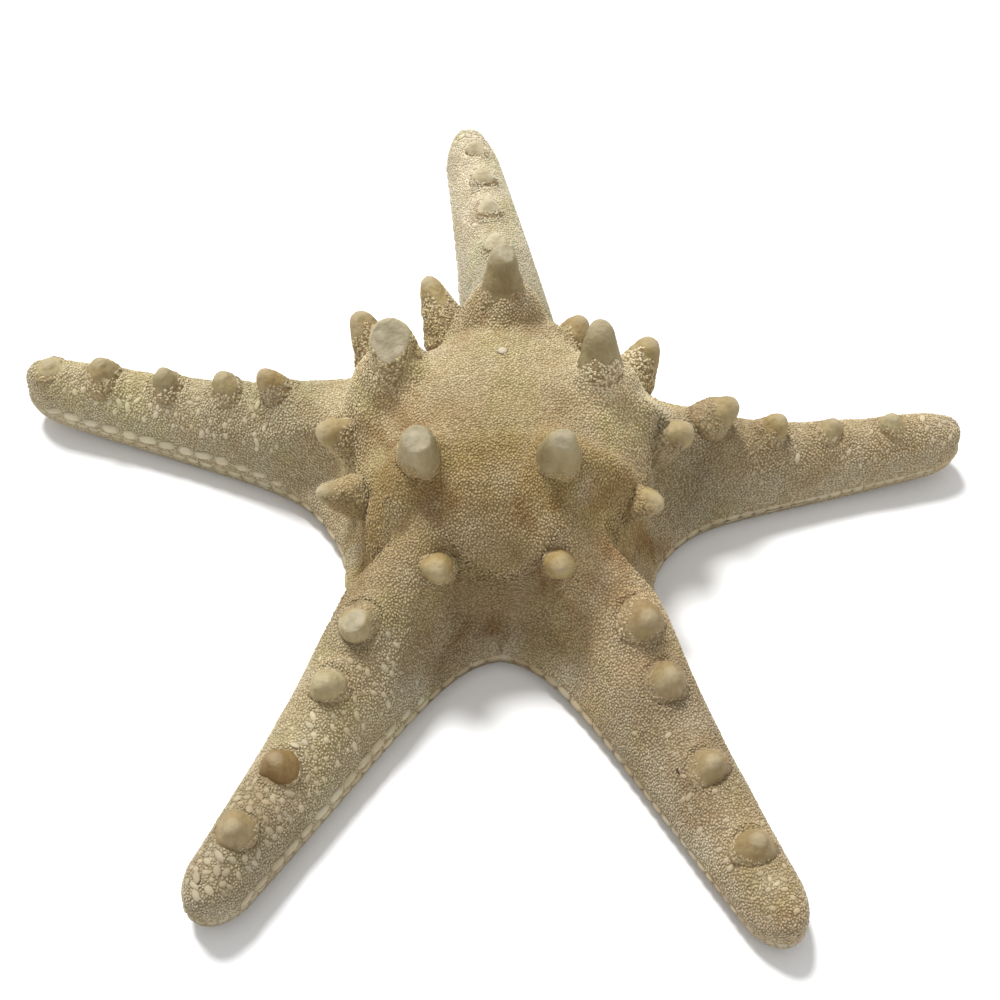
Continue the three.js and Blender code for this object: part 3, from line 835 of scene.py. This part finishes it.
def margin_path():
    """Even steps along the outline from web to tip to web: a and b there and a little further on,
    then the share of the way round."""
    a, b = OUTLINE[::-1].T
    a, b = np.concatenate([a, a[::-1][1:]]), np.concatenate([b, -b[::-1][1:]])
    run = np.concatenate([[0], np.cumsum(np.hypot(np.diff(a), np.diff(b)))])
    stops = [1.5]
    while stops[-1] < run[-1] - 4:
        out = min(stops[-1], run[-1] - stops[-1]) / run[-1] * 2
        stops.append(stops[-1] + PLATE_PITCH * (1 - PLATE_TAPER * out))
    stops = np.array(stops)
    return [np.interp(stops + step, run, x) for step in (0, 0.3) for x in (a, b)], stops / run[-1]


def make_edge_plates():
    """Two rows of tiles round every arm, above and below the margin, smaller outwards. A tile's
    middle is the margin point moved up or down, and it faces outwards and a little up or down."""
    rng = np.random.default_rng(31)
    (a, b, next_a, next_b), share = margin_path()
    shrink = 1 - PLATE_TAPER * (1 - np.abs(2 * share - 1))
    margin = np.full(len(a), MARGIN_Z)
    rows = []
    for rise, tilt, back in PLATE_ROWS:
        for k in range(5):
            m = place(k, a, b, margin)
            along = unit(place(k, next_a, next_b, margin) - m)
            out = np.cross(UP, along)
            bold = np.where(b > 0, *PLATE_BOLDNESS[k, ::-1])
            tint = skin_tint(np.full(len(a), k), a, b * 0.95, m)
            rows.append(dict(
                centre=m + UP * rise * shrink[:, None] ** 0.5 - out * back,
                normal=out * math.cos(math.radians(tilt)) + UP * math.sin(math.radians(tilt)),
                along=along,
                length=PLATE_PITCH * shrink * rng.uniform(0.5, 0.62, len(a)),
                width=(1.25 + 0.35 * bold) * shrink ** 0.5 * rng.uniform(0.9, 1.1, len(a)),
                height=0.42 * bold * rng.uniform(0.7, 1.3, len(a)),
                tint=tint * rng.uniform(0.9, 1.08, (len(a), 1)),
            ))
    joined = {key: np.concatenate([row[key] for row in rows]) for key in rows[0]}
    return domes("margin_plates", PLATE, sink=0.1, **joined), (joined["centre"], joined["width"])


def make_shoulder_scales():
    """A row of slanting scales above the margin, on the near sides of the two arms on the left."""
    rng = np.random.default_rng(41)
    row = np.arange(47, 103, 4.4)
    arm = np.repeat([LEFT, NEAR_LEFT], len(row))
    a = np.tile(row, 2) + rng.uniform(-0.3, 0.3, len(arm))
    b = 0.975 * half_width(a)
    p, n, t = frames_at(upper, arm, a, b)
    bold = smooth((a - 44) / 14) * (1 - 0.3 * smooth((a - 92) / 10))
    count = len(a)
    length = 2.2 * (0.6 + 0.4 * bold) * rng.uniform(0.85, 1.1, count)
    width = 1.3 * (0.6 + 0.4 * bold) * rng.uniform(0.9, 1.1, count)
    tint = (skin_tint(arm, a, b, p) * 0.75 + PALE_SKIN * 0.25) * rng.uniform(0.92, 1.06, (count, 1))
    slant = np.where(arm == LEFT, -0.3, -0.55) + rng.normal(0, 0.08, count)
    t = turned(t, n, slant)
    made = domes("shoulder_scales", PLATE, p, n, t, length, width, 0.4 + 0.4 * bold, 0.25, tint)
    return made, (p, 0.5 * (length + width))


def pebble_chance(k, a, b):
    """Pebbles lie on the near flanks of the arms on the left and near left, and on every tip."""
    tips = 0.6 * smooth((a - 95) / 8)
    near_left = smooth((a - 42) / 8) * smooth((b + 1.5) / 3) * 0.4 + 0.9 * smooth((a - 70) / 12)
    left = smooth((a - 45) / 10) * smooth((b - 1) / 3) * 0.5
    near_right = 0.2 * smooth((a - 70) / 10)
    flanks = (k == NEAR_LEFT) * near_left + (k == LEFT) * left + (k == NEAR_RIGHT) * near_right
    few = 0.04 * smooth((a - 45) / 20)
    return np.clip(np.maximum(tips, flanks + few), 0, 1) * (room(a, b) > 1.6)


def make_pebbles():
    """Flat pebbles, thinned where they are few, and touching where they are many."""
    arm, a, b = scatter(upper, 1.55, 2.2, 51, pebble_chance)
    rng = np.random.default_rng(52)
    p, n, t = frames_at(upper, arm, a, b)
    crowd = pebble_chance(arm, a, b)
    keep = (rng.uniform(0, 1, len(a)) < 0.3 + 0.7 * crowd) & (knob_gap(p) > 0.6)
    arm, a, b, p, n, t, crowd = (x[keep] for x in (arm, a, b, p, n, t, crowd))
    width = rng.uniform(0.5, 0.85, len(a)) * (0.9 + 0.25 * crowd)
    length = width * rng.uniform(1.1, 1.9, len(a))
    height = (0.36 - 0.12 * crowd) * width + 0.1
    tint = skin_tint(arm, a, b, p) * 0.88 + PALE_SKIN * 0.12
    tint *= rng.uniform(0.85, 1.12, (len(a), 1))
    t = turned(t, n, 1.2 + rng.normal(0, 0.5, len(a)))
    made = domes("pebbles", PEBBLE, p, n, t, length, width, height, 0.1, tint)
    return made, (p, 0.5 * (length + width))


# Where they lie, across the table.
CROWN_PLATE = TO_FRAME[:2] + (0.8, 9.6)
# A small pit on the near right arm, whose shade is painted as a near-black dome.
ARM_PIT_SHADE = TO_FRAME[:2] + (34.0, -67.4)


def make_crown_plate_and_pit_shade():
    """The pale sieve plate on the crown, and a near-black dome, painted shade of a pit, on the near right
    arm.
    """
    a, b = np.meshgrid(np.arange(0, 100, 0.25), np.arange(-14, 14, 0.25))
    rows = []
    for k, (x, y) in ((FAR, CROWN_PLATE), (NEAR_RIGHT, ARM_PIT_SHADE)):
        p = upper(k, a, b)
        i = np.unravel_index(np.argmin(np.hypot(p[..., 0] - x, p[..., 1] - y)), a.shape)
        rows.append(frame_on(upper, k, a[i], b[i]))
    p, n, t = (np.stack(x) for x in zip(*rows))
    width = np.array([1.1, 0.45])
    height = np.array([0.6, 0.3])
    # The pit's tint is near black: painted shade.
    tint = np.array([(0.5, 0.43, 0.31), (0.05, 0.035, 0.02)])
    length = width * (1.05, 1.5)
    made = domes("crown_plate_and_pit_shade", dome(16, 3), p, n, t, length, width, height, 0.05, tint)
    return made, (p, width)


SIDES = ["right", "far", "left", "near_left", "near_right"]
GRAIN_GAP = 0.5
GRAINS_PER_AREA = 2.3
HIGHEST_SKIN = 1.35  # no skin line rises past this multiple of its mean


def make_grains(covers):
    """Short worm-like grains all over the upper skin, in one piece for each arm's fifth, clear of
    the plates and pebbles in covers."""
    arm, a, b = scatter(upper, GRAIN_GAP, 17, 61)
    rng = np.random.default_rng(62)
    p, n, t = frames_at(upper, arm, a, b)
    keep = knob_gap(p) > -0.3
    for spots, radius in covers:
        tree = tree_of(spots)
        near = [tree.find(spot)[1:] for spot in p.tolist()]
        keep &= np.array([gap > 0.8 * radius[i] for i, gap in near])
    arm, a, b, p, n, t = (x[keep] for x in (arm, a, b, p, n, t))
    count = len(a)
    width = rng.uniform(0.25, 0.33, count)
    length = width * rng.uniform(1.0, 1.9, count)
    height = rng.uniform(0.2, 0.34, count)
    tint = skin_tint(arm, a, b, p) * rng.uniform(0.84, 1.14, (count, 1))
    t = turned(t, n, rng.uniform(0, np.pi, count))
    # Painted light on the far arm takes away up to half the darkening at the grains' feet.
    dusty = 1 - 0.5 * painted_far_light(arm, a)
    for k, side in enumerate(SIDES):
        parts = (x[arm == k] for x in (p, n, t, length, width, height))
        yield domes("grains_" + side, GRAIN, *parts, 0.06, tint[arm == k], dusty[arm == k])


def make_horn_grains():
    """The same grains on the lower part of every horn and knob, up to its skin line."""
    rng = np.random.default_rng(65)
    rows = []
    for at, height, seed, _, line, _, arm, a in all_horns():
        rim = at(np.zeros(12), np.linspace(0, 2 * np.pi, 12, endpoint=False))[0]
        round_foot = np.linalg.norm(rim - np.roll(rim, 1, 0), axis=1).sum()
        count = int(GRAINS_PER_AREA * round_foot * height * line * HIGHEST_SKIN)
        q = rng.uniform(0, HIGHEST_SKIN * line, count)
        phi = rng.uniform(0, 2 * np.pi, count)
        q, phi = (x[q < skin_line(line, seed, phi)] for x in (q, phi))
        p, gone = at(q, phi)
        up = at(q + 0.01, phi)[0] - p
        n = unit(np.cross(at(q, phi + 0.02)[0] - p, up))
        row = p, n, unit(up), np.full(len(p), arm), np.full(len(p), float(a))
        rows.append([x[gone < 0.2] for x in row])
    p, n, t, arm, a = columns(rows)
    count = len(p)
    width = rng.uniform(0.24, 0.32, count)
    length = width * rng.uniform(1.1, 2.0, count)
    a = np.where(a > 0, a, np.minimum(np.hypot(*(p[:, :2] - DISC_CENTRE).T), DISC_SKIN_REACH))
    tint = skin_tint(arm, a, 0 * a, p) * rng.uniform(0.84, 1.14, (count, 1))
    t = turned(t, n, rng.uniform(0, np.pi, count))
    height = rng.uniform(0.16, 0.26, count)
    return domes("grains_on_horns", GRAIN, p, n, t, length, width, height, 0.06, tint)


def make_sole_grains():
    """Rounder, larger grains on the sole, clear of the grooves."""
    def chance(k, a, b):
        clear = np.abs(b) > GROOVE_HALF_WIDTH + 1.3
        return clear * (np.hypot(a, b) > MOUTH_RADIUS + 2.5) * (room(a, b) > 1.9)

    arm, a, b = scatter(sole, 1.05, 7, 71, chance)
    rng = np.random.default_rng(72)
    p, n, t = frames_at(sole, arm, a, b, -1)
    width = rng.uniform(0.45, 0.56, len(a))
    tint = skin_tint(arm, a, b, p) * rng.uniform(0.85, 1.15, (len(a), 1))
    t = turned(t, n, rng.uniform(0, 3, len(a)))
    return domes("sole_grains", GRAIN, p, n, t, width * 1.15, width, 0.33, 0.03, tint)


def flat_sole(k, a, b):
    """The sole without its grooves."""
    return place(k, a, b, np.full(np.shape(a), GRAIN_ROOM))


def make_furrow_spines():
    """Combs of short blunt spines that lean over both edges of each groove, and round the mouth."""
    rng = np.random.default_rng(81)
    rows = []
    for k in range(5):
        for flank in (-1, 1):
            for start, inset, size in ((8.5, -0.35, 1.15), (8.9, 1.05, 0.8)):
                a = np.arange(start, 96, 0.95)
                run, width = groove_at(a)
                rows.append((np.full(len(a), k), a, flank * (width + inset), size * (0.6 + 0.4 * run)))
    arm, a, b, length = columns(rows)
    p, n, t = frames_at(flat_sole, arm, a, b, -1)
    tint = skin_tint(arm, a, b, p) * rng.uniform(0.9, 1.15, (len(a), 1))
    t = turned(t, n, np.pi / 2 + rng.normal(0, 0.12, len(a)))
    length = length * rng.uniform(0.85, 1.1, len(a))
    return domes("furrow_spines", SPINE, p, n, t, length, 0.36, 0.34, 0.04, tint)


# ------ materials
COLOUR = "NodeSocketColor"
NUMBER = "NodeSocketFloat"


def fill(node, values):
    """Give a node's inputs their values: a socket to link, a colour of three numbers, or a number."""
    for key, value in values.items():
        socket = node.inputs[key]
        if isinstance(value, bpy.types.NodeSocket):
            node.id_data.links.new(value, socket)
        elif socket.type == "RGBA":
            socket.default_value = (*value, 1)
        else:
            socket.default_value = value


def add(tree, kind, values=None, **settings):
    """New node with its settings and input values."""
    node = tree.nodes.new(kind)
    for key, value in settings.items():
        setattr(node, key, value)
    fill(node, values or {})
    return node


def new_material(name):
    """New material: itself, its node tree and its shader."""
    mat = bpy.data.materials.new(name)
    mat.use_nodes = True
    return mat, mat.node_tree, mat.node_tree.nodes["Principled BSDF"]


def new_group(name, inputs, outputs):
    """Empty node group with these sockets: itself, the inputs' sockets and the output node."""
    group = bpy.data.node_groups.new(name, "ShaderNodeTree")
    for way, sockets in (("INPUT", inputs), ("OUTPUT", outputs)):
        for socket, kind in sockets.items():
            group.interface.new_socket(name=socket, in_out=way, socket_type=kind)
    return group, add(group, "NodeGroupInput").outputs, add(group, "NodeGroupOutput")


def object_place(tree):
    """Object coordinates."""
    return add(tree, "ShaderNodeTexCoord").outputs["Object"]


def object_noise(tree, scale, detail=3.0, roughness=0.5, stretch=None):
    """Noise on Object coordinates; scale is in blobs per metre, and stretch scales each axis."""
    spot = object_place(tree)
    if stretch:
        spot = add(tree, "ShaderNodeMapping", {"Vector": spot, "Scale": stretch}).outputs["Vector"]
    values = {"Vector": spot, "Scale": scale, "Detail": detail, "Roughness": roughness}
    return add(tree, "ShaderNodeTexNoise", values).outputs["Fac"]


def attribute(tree, name, output="Fac"):
    """A point value of the mesh."""
    return add(tree, "ShaderNodeAttribute", attribute_name=name).outputs[output]


def mix_colour(tree, kind, factor, a, b):
    """Two colours mixed."""
    node = add(tree, "ShaderNodeMix", data_type="RGBA", blend_type=kind)
    fill(node, {0: factor, 6: a, 7: b})
    return node.outputs[2]


def ramp(tree, value, low, high, to_low=0.0, to_high=1.0):
    """Smooth step of a value from one range to another."""
    values = {"Value": value, "From Min": low, "From Max": high, "To Min": to_low, "To Max": to_high}
    return add(tree, "ShaderNodeMapRange", values, interpolation_type="SMOOTHSTEP").outputs["Result"]


def product(tree, first, second):
    """Product of two sockets."""
    return add(tree, "ShaderNodeMath", {0: first, 1: second}, operation="MULTIPLY").outputs[0]


def relief(tree, height, strength, depth):
    """Normal bumped by a height; depth is in metres."""
    values = {"Height": height, "Strength": strength, "Distance": depth}
    return add(tree, "ShaderNodeBump", values).outputs["Normal"]


def make_aged_group():
    """Shared wear: stains the tint brown and bleaches it in soft patches, and darkens the feet."""
    inputs = {"Tint": COLOUR, "Low": NUMBER, "Dirt": NUMBER}
    group, given, end = new_group("aged_tint", inputs, {"Color": COLOUR, "Relief": NUMBER})
    stain = ramp(group, object_noise(group, 90, 4, 0.6), 0.42, 0.68, 0.0, 0.45)
    colour = mix_colour(group, "MULTIPLY", stain, given["Tint"], (0.72, 0.58, 0.42))
    bleach = ramp(group, object_noise(group, 150, 3, 0.6), 0.52, 0.75, 0.0, 0.3)
    colour = mix_colour(group, "MIX", bleach, colour, (0.50, 0.43, 0.30))
    dirt = product(group, ramp(group, given["Low"], 0.1, 1.0), given["Dirt"])
    colour = mix_colour(group, "MULTIPLY", dirt, colour, (0.34, 0.27, 0.19))
    fill(end, {"Color": colour, "Relief": object_noise(group, 2500, 3, 0.6)})
    return group


def make_granule_group():
    """Shared fine granules, about 0.6 mm: the tint on each, with painted shade in the gaps, and their
    relief.
    """
    outputs = {"Color": COLOUR, "Relief": NUMBER}
    group, given, end = new_group("fine_granules", {"Tint": COLOUR}, outputs)
    cells = {"Vector": object_place(group), "Scale": 1750.0, "Randomness": 1.0}
    gap = add(group, "ShaderNodeTexVoronoi", cells, feature="F1").outputs["Distance"]
    round_top = ramp(group, gap, 0.68, 0.2)
    # Painted shade: the tint darkened towards each cell's edge, in the gaps between the granules.
    dark = mix_colour(group, "MULTIPLY", 1.0, given["Tint"], (0.56, 0.50, 0.42))
    light = mix_colour(group, "MULTIPLY", 1.0, given["Tint"], (0.95, 0.94, 0.90))
    patches = ramp(group, object_noise(group, 120), 0.35, 0.7, 0.75, 1.05)
    colour = mix_colour(group, "MIX", product(group, round_top, patches), dark, light)
    fill(end, {"Color": colour, "Relief": round_top})
    return group


AGED = make_aged_group()
GRANULES = make_granule_group()


def shared(tree, group, values):
    """A shared group placed in a tree: its outputs."""
    node = add(tree, "ShaderNodeGroup", node_tree=group)
    fill(node, values)
    return node.outputs


def aged_material(name, roughness, dirt, relief_depth):
    """Matt chalky finish with a fine bump: the piece's own tint through the shared wear."""
    mat, tree, bsdf = new_material(name)
    given = {"Tint": attribute(tree, "tint", "Color"), "Low": attribute(tree, "low"), "Dirt": dirt}
    wear = shared(tree, AGED, given)
    fill(bsdf, {"Base Color": wear["Color"], "Normal": relief(tree, wear["Relief"], 0.5, relief_depth),
                "Roughness": roughness, "Specular IOR Level": 0.3})
    return mat


def horn_material():
    """Worn horn: tint with faint streaks, a painted highlight at the tip, chalky on the breaks, granular
    below.
    """
    mat, tree, bsdf = new_material("worn_horn")
    high = attribute(tree, "high")
    given = {"Tint": attribute(tree, "tint", "Color"), "Low": ramp(tree, high, 0.45, 0.0), "Dirt": 0.35}
    colour = shared(tree, AGED, given)["Color"]
    streaks = ramp(tree, object_noise(tree, 900, stretch=(1, 1, 0.2)), 0.35, 0.65, 0.35, 0.0)
    colour = mix_colour(tree, "MULTIPLY", streaks, colour, (0.66, 0.58, 0.44))
    # Painted highlight: the top quarter of each horn and knob is mixed towards a paler tint.
    tip = ramp(tree, high, 0.75, 1.0, 0.0, 0.35)
    colour = mix_colour(tree, "MIX", tip, colour, (0.44, 0.385, 0.27))
    patches = ramp(tree, object_noise(tree, 380, 4), 0.35, 0.65)
    chalk = mix_colour(tree, "MIX", patches, (0.29, 0.245, 0.155), (0.40, 0.345, 0.235))
    colour = mix_colour(tree, "MIX", attribute(tree, "broken"), colour, chalk)
    # The granular skin low on the horns carries the shared painted shade in its gaps.
    skin = shared(tree, GRANULES, {"Tint": (0.43, 0.34, 0.20)})
    colour = mix_colour(tree, "MIX", attribute(tree, "skinned"), colour, skin["Color"])
    bumps = relief(tree, object_noise(tree, 650, 5, 0.6), 0.75, 0.0007)
    fill(bsdf, {"Base Color": colour, "Normal": bumps, "Roughness": 0.7, "Specular IOR Level": 0.25})
    return mat


def skin_material():
    """The skin under the grains: finer granules with painted shade between them."""
    mat, tree, bsdf = new_material("granular_skin")
    skin = shared(tree, GRANULES, {"Tint": attribute(tree, "tint", "Color")})
    fill(bsdf, {"Base Color": skin["Color"], "Normal": relief(tree, skin["Relief"], 0.8, 0.0002),
                "Roughness": 0.95, "Specular IOR Level": 0.2})
    return mat


# ------ assembly
def dress(piece, material):
    """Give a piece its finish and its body."""
    piece.data.materials.append(material)
    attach(piece, "root")


grainy = aged_material("chalky_grain", 0.9, 0.3, 0.00015)
plated = aged_material("chalky_plate", 0.8, 0.6, 0.00025)
body = make_body()
dress(body, skin_material())
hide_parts("starfish")
dress(make_knobs(), horn_material())
covers = []
for make in (make_edge_plates, make_shoulder_scales, make_pebbles, make_crown_plate_and_pit_shade):
    made, cover = make()
    dress(made, plated)
    covers.append(cover)
for grains in make_grains(covers):
    dress(grains, grainy)
dress(make_horn_grains(), grainy)
dress(make_sole_grains(), grainy)
dress(make_furrow_spines(), plated)

# ------ floor and lights
FLOOR_REACH = 6.0
FLOOR_GREY = 0.92
ROOM_LIGHT = 0.6
BACKDROP_LIGHT = 0.95


def make_floor():
    """A wide pale table top that isn't part of the object."""
    corners = [(x * FLOOR_REACH, y * FLOOR_REACH, 0) for x, y in ((-1, -1), (1, -1), (1, 1), (-1, 1))]
    mesh = bpy.data.meshes.new("floor")
    mesh.from_pydata(corners, [], [(0, 1, 2, 3)])
    floor = bpy.data.objects.new("floor", mesh)
    bpy.context.collection.objects.link(floor)
    mat, _, bsdf = new_material("pale_table")
    fill(bsdf, {"Base Color": [FLOOR_GREY] * 3, "Roughness": 0.9})
    mesh.materials.append(mat)
    floor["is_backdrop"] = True


def add_light(name, kind, position, strength, **settings):
    """Light at a position, aimed at the middle of the table."""
    lamp = bpy.data.lights.new(name, kind)
    lamp.energy = strength
    for key, value in settings.items():
        setattr(lamp, key, value)
    obj = bpy.data.objects.new(name, lamp)
    obj.location = position
    obj.rotation_euler = Vector(position).to_track_quat("Z", "Y").to_euler()
    bpy.context.collection.objects.link(obj)


def make_room():
    """An even pale room: dimmer as a light than as a backdrop."""
    world = bpy.data.worlds.new("studio")
    bpy.context.scene.world = world
    world.use_nodes = True
    tree = world.node_tree
    glow = tree.nodes["Background"]
    fill(glow, {"Color": (1, 1, 1), "Strength": ROOM_LIGHT})
    backdrop = add(tree, "ShaderNodeBackground", {"Color": (1, 1, 1), "Strength": BACKDROP_LIGHT})
    seen = add(tree, "ShaderNodeLightPath").outputs["Is Camera Ray"]
    mix = add(tree, "ShaderNodeMixShader", {0: seen, 1: glow.outputs[0], 2: backdrop.outputs[0]})
    fill(tree.nodes["World Output"], {"Surface": mix.outputs[0]})


make_floor()
add_light("key", "SUN", (-0.3, 0.6, 1.15), 3.7, angle=math.radians(14))
add_light("fill", "AREA", (0.5, -0.9, 1.1), 1.5, shape="DISK", size=1.2)
make_room()
bpy.context.scene.view_settings.view_transform = "Standard"

boxes = [[list(map(float, corner)) for corner in box] for box in (CAD_BOX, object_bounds())]
